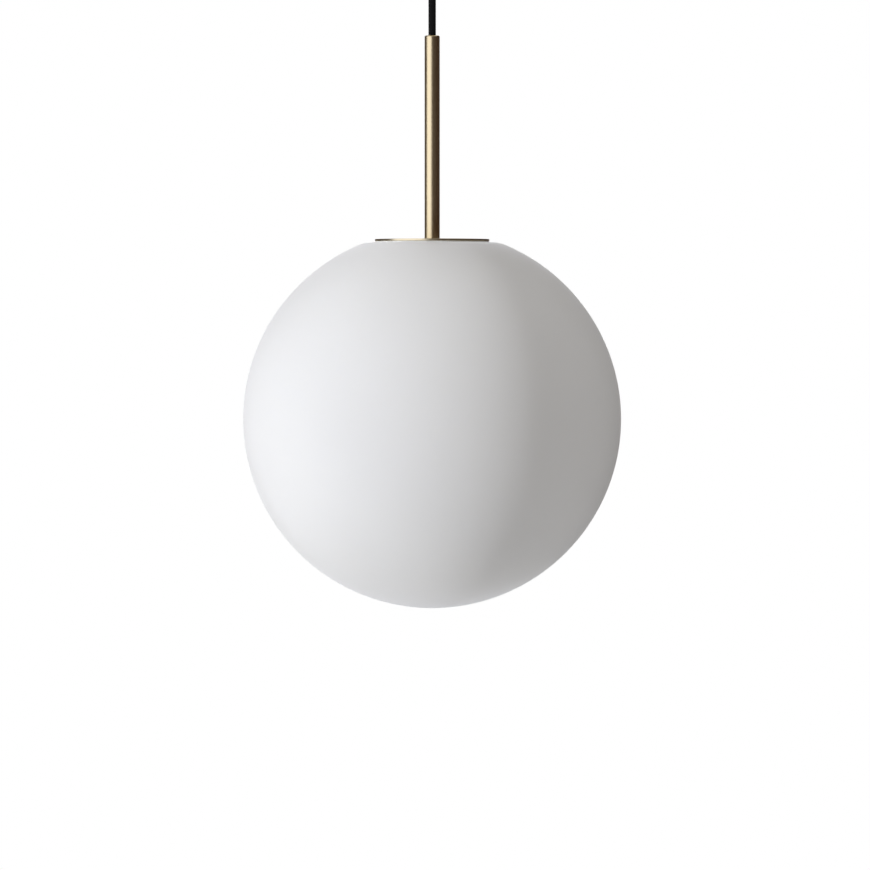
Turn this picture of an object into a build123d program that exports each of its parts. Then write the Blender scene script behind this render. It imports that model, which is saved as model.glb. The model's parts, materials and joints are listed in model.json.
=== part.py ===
from build123d import *

import math
import os

# Pendant ceiling light. Millimetres, +Z up. The origin is on the ceiling, midway between the two
# ceiling screws, and everything hangs below it on the Z axis.

# --- Driving dimensions -------------------------------------------------------------------------
GLOBE_R = 100.0            # outside of the glass globe
GLASS_WALL = 2.5
GLASS_FLAT_H = 93.5        # the globe's flat top, above its centre
GLASS_SHOULDER_R = 20.0    # rounding between the flat top and the sphere
GLASS_MOUTH_R = 27.3

STEM_R = 4.0
STEM_BORE_R = 3.0
STEM_LENGTH = 107.6
STEM_TOP_ROUND = 1.3
STEM_LIP_R = 2.1           # the hole in the stem's top end, round the cord
STEM_LIP_T = 2.0
DISC_R = 30.3
DISC_T = 1.3
DISC_EDGE_T = 1.1          # the disc thins out to this at its edge
DISC_EDGE_ROUND = 0.15
DISC_FLAT_R = 15.0         # its top is flat out to here

CORD_R = 1.9               # textile covered three-core cord
CORE_R = 0.85              # one insulated core
CORE_PITCH_R = 0.98        # the cores' centres, from the cord's axis
FREE_CORD = 90.0           # from the cord grip to the top of the stem
SWING_X_DROP = 8.0         # first bend of the cord, below the cord grip
SWING_Y_DROP = 36.0        # second bend of the cord, below the cord grip

CANOPY_R = 45.0
CANOPY_DEPTH = 30.0
CANOPY_WALL = 1.2
CANOPY_GAP = 0.3           # shadow gap between the cup's rim and the ceiling
BAR_W = 18.0
BAR_T = 1.5
BAR_END_X = 42.5           # outside of the bracket's ears
EAR_DEPTH = 13.0
SLOT_SPACING = 60.0        # the two screw slots for the ceiling
SLOT_LENGTH = 12.0
SLOT_R = 2.5

M10_R = 5.0
M10_CLEAR_R = 5.05
GRIP_COLLAR_T = 2.0
GRIP_NUT_H = 10.0
GRIP_R = 7.0
GRIP_SPIGOT_R = 4.0

CUP_LIP_R = 30.0           # white lip that shows as a thin line under the brass disc
CUP_LIP_T = 0.5
CUP_COLLAR_R = 26.6
CUP_R = 24.0
CUP_BORE_R = 21.5
CUP_FLOOR_T = 2.5
SEAL_T = 1.2
HOLDER_R = 19.5            # lampholder, inside the globe's recess
THREAD_PITCH = 3.629       # E27 screw thread
THREAD_TURNS = 5.0
SOCKET_R = 13.3            # inside of the socket shell
LAMP_CAP_R = 12.05         # core of the lamp's screw cap

HEX_FLATS = 30.0           # the heat sink's column, across flats
COLUMN_H = 59.8
LED_ROWS = 5

# --- Heights along the axis, from the ceiling down ----------------------------------------------
bar_bottom = -BAR_T
canopy_bottom = -CANOPY_DEPTH
canopy_floor = canopy_bottom + CANOPY_WALL
grip_bottom = canopy_bottom - GRIP_COLLAR_T - GRIP_NUT_H
swing_x_z = grip_bottom - SWING_X_DROP
swing_y_z = grip_bottom - SWING_Y_DROP
stem_top = grip_bottom - FREE_CORD
disc_top = stem_top - STEM_LENGTH
disc_bottom = disc_top - DISC_T
lip_top = disc_bottom - 0.1
glass_top = lip_top - CUP_LIP_T
globe_centre = glass_top - GLASS_FLAT_H

washer_bottom = disc_bottom - 1.0
locknut_bottom = washer_bottom - 3.0
cap_top = locknut_bottom
cap_inner_top = cap_top - 2.2
tag_bottom = cap_inner_top - 0.8
cap_nut_bottom = tag_bottom - 2.5
nipple_bottom = cap_nut_bottom - 1.0
clamp_top = nipple_bottom - 0.6
clamp_bottom = clamp_top - 3.0
sheath_end = clamp_bottom - 1.0
cap_bottom = cap_top - 16.0
insert_bottom = cap_bottom - 6.0
socket_bottom = insert_bottom - 21.8
holder_bottom = socket_bottom - 2.0

contact_top = insert_bottom + 0.95
insulator_top = insert_bottom - 0.5
lamp_cap_top = insert_bottom - 4.0
lamp_cap_bottom = lamp_cap_top - 22.1
boss_top = lamp_cap_top - 2.1
cup_floor_top = holder_bottom - 4.0
cup_bottom = cup_floor_top - CUP_FLOOR_T
column_top = cup_bottom - 3.0
column_bottom = column_top - COLUMN_H

# Unscrewed by THREAD_TURNS turns, the globe has moved this far down and is free of the holder.
globe_travel = THREAD_PITCH * THREAD_TURNS

pieces = {}


# --- Shapes used by several pieces --------------------------------------------------------------
def rod(radius, top, bottom, x=0.0, y=0.0):
    """Upright cylinder between two heights."""
    return Pos(x, y, (top + bottom) / 2) * Cylinder(radius, top - bottom)


def ring(outer, inner, top, bottom, x=0.0, y=0.0):
    """Upright sleeve or washer between two heights."""
    return rod(outer, top, bottom, x, y) - rod(inner, top + 1, bottom - 1, x, y)


def block(size_x, size_y, top, bottom, x=0.0, y=0.0):
    """Upright box between two heights."""
    return Pos(x, y, (top + bottom) / 2) * Box(size_x, size_y, top - bottom)


def hexagon(flats, top, bottom):
    """Upright hexagonal bar between two heights, with flats facing +X and -X."""
    outline = Rot(0, 0, 30) * RegularPolygon(flats / 2, 6, major_radius=False)
    return Pos(0, 0, bottom) * extrude(outline, top - bottom)


def hex_nut(flats, bore, top, bottom):
    """Hexagonal nut with its corners turned down."""
    corners = rod(flats / 2 * 1.1, top, bottom)
    return (hexagon(flats, top, bottom) & corners) - rod(bore, top + 1, bottom - 1)


def turned(*outline):
    """Solid turned about the Z axis from its half outline, given as radius and height."""
    face = make_face(Plane.XZ * Polyline(*outline, close=True))
    return revolve(face, Axis.Z)


def wire(radius, points, bends):
    """Round wire along straight runs that are joined by arcs."""
    path = FilletPolyline(*points, radius=bends)
    start = Plane(origin=path @ 0, z_dir=path % 0)
    return sweep(start * Circle(radius), path=path)


def screw(radius, length, head_radius, head_height, slot=0.8):
    """Slotted pan-head screw along Z. The head stands on Z = 0 and the shank goes up."""
    head = rod(head_radius, 0, -head_height)
    head = fillet(head.edges().group_by(Axis.Z)[0], head_height * 0.45)
    shank = rod(radius, length, 0)
    groove = Pos(0, 0, -head_height) * Box(head_radius * 3, slot, head_height * 0.9)
    return head + shank - groove


def save(name, *solids):
    """Keep one named piece, or one group of separate solids."""
    pieces[name] = solids[0] if len(solids) == 1 else Compound(list(solids))


# --- Ceiling fitting ----------------------------------------------------------------------------
EAR_SCREW_Z = -8.0
BLOCK_SIZE = (28.0, 16.0, 13.0)
WAY_PITCH = 9.0
EARTH_X = -19.0
CANOPY_SHEATH_END = -20.0


def ceiling_bracket():
    bar = block(2 * BAR_END_X, BAR_W, 0, bar_bottom)
    ear_x = BAR_END_X - BAR_T / 2
    for side in (-1, 1):
        slot = extrude(SlotOverall(SLOT_LENGTH, 2 * SLOT_R), BAR_T + 2)
        bar -= Pos(side * SLOT_SPACING / 2, 0, bar_bottom - 1) * slot
        bar += block(BAR_T, BAR_W, 0, -EAR_DEPTH, x=side * ear_x)
    bar -= Pos(0, 0, EAR_SCREW_Z) * Rot(0, 90, 0) * Cylinder(2.05, 2 * CANOPY_R)
    outside = [e for e in bar.edges().filter_by(Axis.Y) if e.center().Z > -0.01]
    bar = fillet([e for e in outside if abs(e.center().X) > BAR_END_X - 0.1], 1.0)
    bar -= rod(1.55, 1, bar_bottom - 1, x=WAY_PITCH / 2)
    return bar - rod(2.05, 1, bar_bottom - 1, x=EARTH_X)


def canopy_cup():
    height = CANOPY_DEPTH - CANOPY_GAP
    cup = rod(CANOPY_R, -CANOPY_GAP, canopy_bottom)
    cup = fillet(cup.edges().group_by(Axis.Z)[0], 3.0)
    hollow = rod(CANOPY_R - CANOPY_WALL, -CANOPY_GAP + height, canopy_floor)
    hollow = fillet(hollow.edges().group_by(Axis.Z)[0], 3.0 - CANOPY_WALL)
    cup -= hollow
    cup -= rod(M10_CLEAR_R, 0, canopy_bottom - 1)
    return cup - Pos(0, 0, EAR_SCREW_Z) * Rot(0, 90, 0) * Cylinder(2.2, 3 * CANOPY_R)


def canopy_screws():
    place = Pos(CANOPY_R, 0, EAR_SCREW_Z) * Rot(0, -90, 0)
    one = place * screw(2.0, 7.0, 3.6, 2.2)
    return [one, Rot(0, 0, 180) * one]


def cord_grip_body():
    collar_bottom = canopy_bottom - GRIP_COLLAR_T
    body = rod(M10_R, canopy_bottom + 10.0, canopy_bottom)
    body += rod(GRIP_R, canopy_bottom, collar_bottom)
    body += rod(GRIP_SPIGOT_R, collar_bottom, collar_bottom - 6.0)
    body -= rod(2.1, 0, collar_bottom - 10.0)
    for turn in (0, 90):
        gap = Rot(0, 0, turn) * block(2 * GRIP_R, 0.8, collar_bottom - 2.0, collar_bottom - 8.0)
        body -= gap
    return body


def cord_grip_nut():
    top = canopy_bottom - GRIP_COLLAR_T
    nut = rod(GRIP_R, top, grip_bottom)
    nut = fillet(nut.edges().group_by(Axis.Z)[0], 1.5)
    nut -= rod(GRIP_SPIGOT_R + 0.05, top + 1, top - 6.5)
    return nut - rod(2.5, top, grip_bottom - 1)


def terminal_block():
    size_x, size_y, size_z = BLOCK_SIZE
    top = bar_bottom
    body = block(size_x, size_y, top, top - size_z)
    body = fillet(body.edges().filter_by(Axis.Z), 1.5)
    for way in (-1, 0, 1):
        body -= Pos(way * WAY_PITCH, 0, top - 6.5) * Rot(90, 0, 0) * Cylinder(2.6, size_y + 2)
        for end in (-1, 1):
            body -= rod(1.6, top - 6.5, top - size_z - 1, x=way * WAY_PITCH, y=end * 4.5)
    return body - rod(1.6, top + 1, top - size_z - 1, x=WAY_PITCH / 2)


def terminal_clamps():
    clamps = []
    for way in (-1, 0, 1):
        place = Pos(way * WAY_PITCH, 0, bar_bottom - 6.5)
        sleeve = place * Rot(90, 0, 0) * (Cylinder(2.55, 13.0) - Cylinder(1.5, 15.0))
        for end in (-1, 1):
            sleeve -= rod(1.3, bar_bottom - 6.5, bar_bottom - 12, x=way * WAY_PITCH, y=end * 4.5)
        clamps.append(sleeve)
    return clamps


def terminal_block_screws():
    screws = []
    for way in (-1, 0, 1):
        for end in (-1, 1):
            one = rod(1.25, bar_bottom - 7.6, bar_bottom - 12.4)
            one -= Pos(0, 0, bar_bottom - 12.4) * Box(4, 0.6, 1.2)
            screws.append(Pos(way * WAY_PITCH, end * 4.5, 0) * one)
    return screws


def canopy_lead(index, points, bends):
    """One core of the cord, from the end of its sheath to the place where it is clamped."""
    angle = math.radians(90 + 120 * index)
    x = CORE_PITCH_R * math.cos(angle)
    y = CORE_PITCH_R * math.sin(angle)
    start = [(x, y, CANOPY_SHEATH_END), (x, y, CANOPY_SHEATH_END + 2.2)]
    return wire(CORE_R, start + points, bends)


def build_ceiling_fitting():
    save("ceiling_bracket", ceiling_bracket())
    save("canopy_cup", canopy_cup())
    save("canopy_screws", *canopy_screws())
    save("cord_grip_body", cord_grip_body())
    save("cord_grip_nut", cord_grip_nut())
    save("cord_grip_washer", ring(8.5, M10_CLEAR_R, canopy_floor + 0.8, canopy_floor))
    locknut = hex_nut(14.0, M10_R, canopy_floor + 3.8, canopy_floor + 0.8)
    save("cord_grip_locknut", locknut)
    save("canopy_cord", rod(CORD_R, CANOPY_SHEATH_END, swing_x_z + BEND_ROOM))
    save("terminal_block", terminal_block())
    save("terminal_clamps", *terminal_clamps())
    save("terminal_block_screws", *terminal_block_screws())
    fixing_length = BLOCK_SIZE[2] + BAR_T
    fixing = Pos(WAY_PITCH / 2, 0, -fixing_length) * screw(1.5, fixing_length, 2.8, 1.6)
    save("terminal_fixing_screw", fixing)
    way_z = bar_bottom - 6.5
    low_z = CANOPY_SHEATH_END + 3.4
    for name, index, way in (("live", 1, -1), ("neutral", 2, 1)):
        x = way * WAY_PITCH
        points = [(x, -13.0, low_z), (x, -13.0, way_z), (x, -6.5, way_z)]
        save("canopy_" + name + "_lead", canopy_lead(index, points, [1.2, 2.5, 2.5]))
    tag_z = bar_bottom - 0.8
    lug_z = tag_z - CORE_R
    points = [(EARTH_X + 1, 12.0, low_z), (EARTH_X, 12.0, lug_z - 1), (EARTH_X, 4.2, lug_z)]
    save("canopy_earth_lead", canopy_lead(0, points, [1.2, 2.5, 2.5]))
    tag = rod(3.5, bar_bottom, tag_z, x=EARTH_X)
    tag += block(2.4, 5.0, bar_bottom, tag_z, x=EARTH_X, y=5.2)
    tag -= rod(2.05, 0, bar_bottom - 2, x=EARTH_X)
    save("earth_ring_tag", tag)
    earth = Pos(EARTH_X, 0, tag_z) * screw(2.0, BAR_T + 0.8, 3.2, 1.8)
    save("earth_screw", earth)


# --- Free cord ----------------------------------------------------------------------------------
BEND_ROOM = CORD_R + 0.05   # a bend's ball turns clear of the flat end above it


def cord_piece(bend_z, bottom):
    """Straight stretch of cord under a bend. Its top is a ball about the bend's pivot."""
    return rod(CORD_R, bend_z, bottom) + Pos(0, 0, bend_z) * Sphere(CORD_R)


def build_cord():
    save("cord_upper", cord_piece(swing_x_z, swing_y_z + BEND_ROOM))
    save("cord_lower", cord_piece(swing_y_z, stem_top - 1.0))


# --- Stem, cover disc and lampholder ------------------------------------------------------------
POST_X = 9.5
CLAMP_SCREW_Y = 9.0


def stem_tube():
    """Tube with rounded shoulders. Its top end closes in around the cord."""
    tube = rod(STEM_R, stem_top, disc_top)
    tube = fillet(tube.edges().group_by(Axis.Z)[-1], STEM_TOP_ROUND)
    tube -= rod(STEM_LIP_R, stem_top + 1, disc_top - 1)
    return tube - rod(STEM_BORE_R, stem_top - STEM_LIP_T, disc_top - 1)


def stem_nipple():
    nipple = rod(STEM_BORE_R - 0.05, disc_top + 10.0, disc_bottom)
    nipple += rod(M10_R, disc_bottom, nipple_bottom)
    return nipple - rod(2.05, disc_top + 12.0, nipple_bottom - 1)


def top_disc():
    """Spun disc: flat in the middle, with a top that curves gently down to its rounded edge."""
    edge_z = disc_bottom + DISC_EDGE_T
    with BuildSketch(Plane.XZ) as sketch:
        with BuildLine():
            Polyline((DISC_R, edge_z), (DISC_R, disc_bottom), (STEM_BORE_R, disc_bottom),
                     (STEM_BORE_R, disc_top), (DISC_FLAT_R, disc_top))
            TangentArc((DISC_FLAT_R, disc_top), (DISC_R, edge_z), tangent=(1, 0))
        make_face()
    disc = revolve(sketch.sketch, Axis.Z)
    rim = disc.edges().filter_by(GeomType.CIRCLE)
    return fillet([e for e in rim if e.radius > DISC_R - 0.01], DISC_EDGE_ROUND)


def holder_dome(inset, top, bottom):
    """Domed half of the lampholder, drawn in by an inset."""
    arc_r = 10.5
    arc_z = cap_top - arc_r
    flat_r = HOLDER_R - arc_r
    with BuildSketch(Plane.XZ) as sketch:
        with BuildLine():
            Line((0, top), (flat_r, top))
            CenterArc((flat_r, arc_z), arc_r - inset, 0, 90)
            Line((HOLDER_R - inset, arc_z), (HOLDER_R - inset, bottom))
            Line((HOLDER_R - inset, bottom), (0, bottom))
            Line((0, bottom), (0, top))
        make_face()
    return revolve(sketch.sketch, Axis.Z)


def lampholder_cap():
    outside = holder_dome(0.0, cap_top, cap_bottom)
    shell = outside - holder_dome(2.2, cap_inner_top, cap_bottom - 1)
    for side in (-1, 1):
        pillar = rod(2.6, cap_top, clamp_top, y=side * CLAMP_SCREW_Y) & outside
        shell += pillar
        shell -= rod(1.5, clamp_top + 3.6, clamp_top - 1, y=side * CLAMP_SCREW_Y)
    return shell - rod(M10_R, cap_top + 1, cap_inner_top - 1)


def earth_tag():
    tag = rod(6.3, cap_inner_top, tag_bottom)
    tail = block(3.8, 3.0, cap_inner_top, tag_bottom, x=7.0)
    tag += Rot(0, 0, -45) * tail
    return tag - rod(M10_CLEAR_R, cap_inner_top + 1, tag_bottom - 1)


def cord_clamp():
    bar = block(7.0, 23.0, clamp_top, clamp_bottom)
    bar = fillet(bar.edges().filter_by(Axis.Z), 2.0)
    bar -= rod(CORD_R, clamp_top + 1, clamp_bottom - 1)
    for side in (-1, 1):
        bar -= rod(1.6, clamp_top + 1, clamp_bottom - 1, y=side * CLAMP_SCREW_Y)
    return bar


def lampholder_insert():
    body = rod(16.1, cap_bottom, insert_bottom)
    body -= rod(8.0, insert_bottom + 3.5, insert_bottom - 1)
    for side in (-1, 1):
        body -= rod(1.8, cap_bottom + 1, insert_bottom - 1, x=side * 12.8, y=5.0)
        body -= rod(1.1, cap_bottom + 1, insert_bottom - 1, x=side * 5.6)
    return body


def terminal_post(side):
    top = cap_bottom + 6.0
    post = block(5.0, 5.0, top, cap_bottom, x=side * POST_X)
    post -= Pos(side * POST_X, 0, cap_bottom + 3.0) * Rot(0, 90, 0) * Cylinder(1.3, 8)
    return post - rod(1.25, top + 1, cap_bottom + 3.0, x=side * POST_X)


def terminal_screw(side):
    top = cap_bottom + 6.0
    body = rod(1.2, top + 0.6, cap_bottom + 4.4)
    body -= Pos(0, 0, top + 0.6) * Box(4, 0.6, 1.2)
    return Pos(side * POST_X, 0, 0) * body


def holder_lead(side):
    """Core from the end of the sheath into the terminal post."""
    x = side * CORE_PITCH_R * math.cos(math.radians(30))
    y = CORE_PITCH_R * math.sin(math.radians(30))
    way_z = cap_bottom + 3.0
    points = [(x, y, sheath_end), (x, y, way_z), (side * 5.0, 0, way_z), (side * 7.2, 0, way_z)]
    return wire(CORE_R, points, [1.0, 2.0])


def holder_earth_lead():
    low = sheath_end - 2.2
    tag_x = 5.8
    points = [(0, -CORE_PITCH_R, sheath_end), (0, -CORE_PITCH_R, low), (tag_x, -tag_x, low)]
    points.append((tag_x, -tag_x, tag_bottom))
    return wire(CORE_R, points, [1.2, 2.5])


def socket_shell():
    wall = 0.35
    shell = ring(SOCKET_R + wall, SOCKET_R, insert_bottom, socket_bottom)
    return shell + ring(15.5, SOCKET_R, insert_bottom, insert_bottom - wall)


def centre_contact():
    """Sprung tongue. It is riveted beside the centre and its bow presses on the lamp."""
    roof = insert_bottom + 3.5
    low = contact_top + 0.05
    top_side = [(-7.4, roof), (-3.8, roof), (0.6, low + 0.5), (2.6, low + 0.5), (4.6, low + 1.3)]
    under_side = [(4.9, low + 0.9), (2.7, low), (0.4, low), (-4.0, roof - 0.5), (-7.4, roof - 0.5)]
    outline = make_face(Plane.XZ * Polyline(*top_side, *under_side, close=True))
    return extrude(outline, 2.5, both=True)


def lampholder_body():
    shoulder = insert_bottom - 0.35
    lip_z = socket_bottom - 0.2
    bore_r = 16.2
    spigot_top = cap_bottom + 5.0
    return turned(
        (bore_r, spigot_top), (17.25, spigot_top), (17.25, cap_bottom), (HOLDER_R, cap_bottom),
        (HOLDER_R, holder_bottom + 1.0), (HOLDER_R - 1.0, holder_bottom), (13.9, holder_bottom),
        (13.9, lip_z), (14.2, lip_z), (14.2, shoulder), (bore_r, shoulder),
    )


def build_pendant_fitting():
    save("stem_tube", stem_tube())
    bush_top = stem_top - STEM_LIP_T
    save("stem_top_bush", ring(STEM_BORE_R, CORD_R + 0.1, bush_top, bush_top - 8.0))
    save("stem_cord", rod(CORD_R, stem_top - 1.0, sheath_end))
    save("stem_nipple", stem_nipple())
    save("top_disc", top_disc())
    save("disc_washer", ring(8.0, M10_CLEAR_R, disc_bottom, washer_bottom))
    save("disc_locknut", hex_nut(14.0, M10_R, washer_bottom, locknut_bottom))
    save("lampholder_cap", lampholder_cap())
    save("earth_tag", earth_tag())
    save("cap_nut", Rot(0, 0, 30) * hex_nut(12.0, M10_R, tag_bottom, cap_nut_bottom))
    save("cord_clamp", cord_clamp())
    clamp_screw = Pos(0, 0, clamp_bottom) * screw(1.45, 6.4, 2.6, 1.6)
    save("cord_clamp_screws", *[Pos(0, s * CLAMP_SCREW_Y, 0) * clamp_screw for s in (-1, 1)])
    save("lampholder_insert", lampholder_insert())
    save("terminal_posts", *[terminal_post(side) for side in (-1, 1)])
    save("terminal_screws", *[terminal_screw(side) for side in (-1, 1)])
    save("live_lead", holder_lead(-1))
    save("neutral_lead", holder_lead(1))
    save("earth_lead", holder_earth_lead())
    save("socket_shell", socket_shell())
    save("centre_contact", centre_contact())
    save("lampholder_body", lampholder_body())


# --- Seal and globe -----------------------------------------------------------------------------
CHIP_T = 0.7
BOARD_T = 1.0


def glass_form(radius, top):
    """Sphere with a flat top and a rounded shoulder."""
    form = Pos(0, 0, globe_centre) * Sphere(radius)
    form -= Pos(0, 0, top + radius) * Box(3 * radius, 3 * radius, 2 * radius)
    shoulder = form.edges().filter_by(GeomType.CIRCLE).group_by(Axis.Z)[-1]
    return fillet(shoulder, GLASS_SHOULDER_R)


def globe_glass():
    glass = glass_form(GLOBE_R, glass_top) - glass_form(GLOBE_R - GLASS_WALL, glass_top - GLASS_WALL)
    return glass - rod(GLASS_MOUTH_R, glass_top + 1, glass_top - 10)


def recess_cup():
    ledge_r = 25.0
    ledge_z = disc_bottom - SEAL_T - 0.1
    collar_bottom = glass_top - 4.5
    boss_r = 11.6
    boss_bore_r = 9.0
    cup = turned(
        (ledge_r, lip_top), (CUP_LIP_R, lip_top), (CUP_LIP_R, glass_top), (CUP_COLLAR_R, glass_top),
        (CUP_COLLAR_R, collar_bottom), (CUP_R, collar_bottom), (CUP_R, cup_bottom),
        (boss_bore_r, cup_bottom), (boss_bore_r, boss_top), (boss_r, boss_top),
        (boss_r, cup_floor_top), (CUP_BORE_R, cup_floor_top), (CUP_BORE_R, ledge_z),
        (ledge_r, ledge_z),
    )
    for place in engine_screw_places():
        cup -= place * rod(1.55, cup_floor_top + 1, cup_bottom - 1)
    return cup


def engine_screw_places():
    """Three screws, each facing a flat of the hexagonal column."""
    return [Rot(0, 0, turn) * Pos(19.2, 0, 0) for turn in (0, 120, 240)]


def lamp_cap_insulator():
    inside_r = LAMP_CAP_R - 0.4
    profile = turned(
        (1.0, insulator_top), (5.4, insulator_top), (LAMP_CAP_R, lamp_cap_top),
        (inside_r, lamp_cap_top), (inside_r, lamp_cap_top - 0.8), (1.0, lamp_cap_top - 0.8),
    )
    return profile - rod(4.8, insulator_top + 1, insulator_top - 0.2)


def lamp_cap_contact():
    button = rod(4.8, contact_top - 0.6, insulator_top - 0.2)
    button += rod(3.4, contact_top, contact_top - 0.6)
    return fillet(button.edges().group_by(Axis.Z)[-1], 0.4)


def lamp_leads():
    centre = rod(0.6, insulator_top - 0.2, column_top)
    side_x = 8.3
    turn_z = lamp_cap_top - 1.45
    points = [(side_x, 0, column_top), (side_x, 0, turn_z), (11.5, 0, turn_z)]
    return [centre, wire(0.6, points, [1.2])]


def heat_sink():
    body = rod(23.5, cup_bottom, column_top) + hexagon(HEX_FLATS, column_top, column_bottom)
    body -= rod(11.5, cup_bottom + 1, column_bottom + 4.0)
    body -= rod(2.5, column_bottom + 5.0, column_bottom - 1)
    for place in engine_screw_places():
        body -= place * rod(1.7, cup_bottom + 1, column_top - 1)
    return body


def driver_sleeve():
    low = column_bottom + 8.0
    sleeve = rod(11.3, cup_bottom - 0.5, low) - rod(10.3, cup_bottom, low + 1.0)
    return sleeve - rod(2.5, low + 2, low - 1)


def driver_components():
    """Transformer, two capacitors, choke, rectifier and control chip on the driver board."""
    face = 0.6
    top = column_top
    transformer = block(10.0, 6.0, top - 16.0, top - 28.0, y=face + 3.0)
    bulk = rod(3.2, top - 2.0, top - 14.0, x=3.6, y=face + 3.2)
    filter_can = rod(2.5, top - 31.0, top - 40.0, x=-3.4, y=face + 2.5)
    choke = Pos(-4.4, face + 2.0, top - 8.0) * Rot(90, 0, 0) * Cylinder(3.2, 4.0)
    rectifier = block(6.0, 2.4, top - 5.0, top - 10.0, x=2.5, y=-face - 1.2)
    control = block(5.0, 1.6, top - 22.0, top - 27.0, y=-face - 0.8)
    return [transformer, bulk, filter_can, choke, rectifier, control]


def side_leds():
    boards = []
    chips = []
    middle = (column_top + column_bottom) / 2
    for face in range(6):
        turn = Rot(0, 0, 60 * face)
        at = turn * Pos(HEX_FLATS / 2 + BOARD_T / 2, 0, middle)
        boards.append(at * Box(BOARD_T, 12.0, 50.0))
        for row in range(LED_ROWS):
            z = middle + (row - (LED_ROWS - 1) / 2) * 9.5
            spot = turn * Pos(HEX_FLATS / 2 + BOARD_T + CHIP_T / 2, 0, z)
            chips.append(spot * Box(CHIP_T, 2.8, 3.5))
    return boards, chips


def end_leds():
    board = ring(14.5, 1.6, column_bottom, column_bottom - BOARD_T)
    chips = []
    for index in range(6):
        spot = Rot(0, 0, 60 * index) * Pos(8.5, 0, column_bottom - BOARD_T - CHIP_T / 2)
        chips.append(spot * Box(3.5, 2.8, CHIP_T))
    return board, chips


def build_globe():
    save("seal_ring", ring(24.9, 21.7, disc_bottom, disc_bottom - SEAL_T))
    save("globe_glass", globe_glass())
    save("recess_cup", recess_cup())
    bond = ring(GLASS_MOUTH_R, CUP_COLLAR_R, glass_top, glass_top - GLASS_WALL)
    save("glass_bond_ring", bond)
    save("lamp_cap_shell", ring(LAMP_CAP_R, LAMP_CAP_R - 0.4, lamp_cap_top, lamp_cap_bottom))
    save("lamp_cap_insulator", lamp_cap_insulator())
    save("lamp_cap_contact", lamp_cap_contact())
    save("lamp_leads", *lamp_leads())
    save("heat_sink", heat_sink())
    engine_screw = Pos(0, 0, column_top) * screw(1.5, 5.2, 2.6, 1.6)
    save("engine_screws", *[place * engine_screw for place in engine_screw_places()])
    save("driver_sleeve", driver_sleeve())
    save("driver_board", block(19.0, 1.2, column_top, column_top - 44.0))
    save("driver_components", *driver_components())
    boards, chips = side_leds()
    save("led_side_boards", *boards)
    save("led_side_chips", *chips)
    board, chips = end_leds()
    save("led_end_board", board)
    save("led_end_chips", *chips)
    lead_top = column_top - 44.0
    save("led_leads", *[rod(0.5, lead_top, column_bottom - BOARD_T, x=s * 1.0) for s in (-1, 1)])


def main():
    build_ceiling_fitting()
    build_cord()
    build_pendant_fitting()
    build_globe()
    os.makedirs("parts", exist_ok=True)
    for name, shape in pieces.items():
        export_step(shape, "parts/" + name + ".step")
    print("nodes", len(pieces))
    print("free cord, straight, length", FREE_CORD, "radius", CORD_R)
    print("swing pivots", swing_x_z, swing_y_z, "stem top", stem_top)
    print("globe centre", globe_centre, "bottom", globe_centre - GLOBE_R)
    print("globe travel", globe_travel)


main()
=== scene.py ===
"""Pendant ceiling light: an opal globe under a thin brass disc, on a brass stem and a textile cord.

All lengths are metres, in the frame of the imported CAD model: the ceiling is at Z = 0 and the lamp
hangs down the Z axis. The camera looks along +Y."""

import json
import math

import bmesh
import bpy
from mathutils import Matrix, Vector


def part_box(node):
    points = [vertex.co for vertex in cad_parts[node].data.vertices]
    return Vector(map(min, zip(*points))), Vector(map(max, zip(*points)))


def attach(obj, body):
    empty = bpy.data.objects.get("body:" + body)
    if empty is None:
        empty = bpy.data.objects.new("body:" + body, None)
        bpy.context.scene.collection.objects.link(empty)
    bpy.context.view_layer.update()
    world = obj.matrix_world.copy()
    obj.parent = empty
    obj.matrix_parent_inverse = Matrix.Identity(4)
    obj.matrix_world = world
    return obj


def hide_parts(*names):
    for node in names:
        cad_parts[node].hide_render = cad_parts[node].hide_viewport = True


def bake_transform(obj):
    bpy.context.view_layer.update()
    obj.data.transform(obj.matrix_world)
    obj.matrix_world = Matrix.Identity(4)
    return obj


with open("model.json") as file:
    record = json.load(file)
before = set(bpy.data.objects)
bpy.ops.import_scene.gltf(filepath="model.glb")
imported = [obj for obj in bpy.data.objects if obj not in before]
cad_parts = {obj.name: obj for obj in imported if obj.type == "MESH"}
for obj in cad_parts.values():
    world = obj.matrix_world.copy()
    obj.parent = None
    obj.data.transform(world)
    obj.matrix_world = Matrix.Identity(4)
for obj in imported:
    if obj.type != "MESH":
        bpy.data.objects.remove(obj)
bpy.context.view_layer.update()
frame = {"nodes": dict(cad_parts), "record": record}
nodes = frame["nodes"]

MM = 0.001
SEGMENTS = 192                # round a turned piece
ON_AXIS = 1e-7                # a smaller radius counts as a point on the axis
HAIR = 1e-6                   # far less than any detail, but not nothing

# --- Camera -------------------------------------------------------------------------------------
globe_low, globe_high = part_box("globe_glass")
globe_r = (globe_high.x - globe_low.x) / 2
globe_z = globe_low.z + globe_r
VIEW_WIDTH = 460.3 * MM       # what the picture spans at the lamp
CAMERA_DISTANCE = 8.0
CAMERA_SIDE = 1.5 * MM        # the lamp hangs this far left of the picture's middle
CAMERA_DROP = 8.4 * MM        # and its centre is this far above it


def add_camera():
    """Long lens, level with a point a little below the globe's middle."""
    camera = bpy.data.cameras.new("camera")
    camera.sensor_width = 36.0
    camera.lens = camera.sensor_width * CAMERA_DISTANCE / VIEW_WIDTH
    camera.clip_end = 100.0
    holder = bpy.data.objects.new("camera", camera)
    holder.location = (CAMERA_SIDE, -CAMERA_DISTANCE, globe_z - CAMERA_DROP)
    holder.rotation_euler = (math.radians(90), 0, 0)
    bpy.context.scene.collection.objects.link(holder)
    bpy.context.scene.camera = holder


add_camera()


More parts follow.
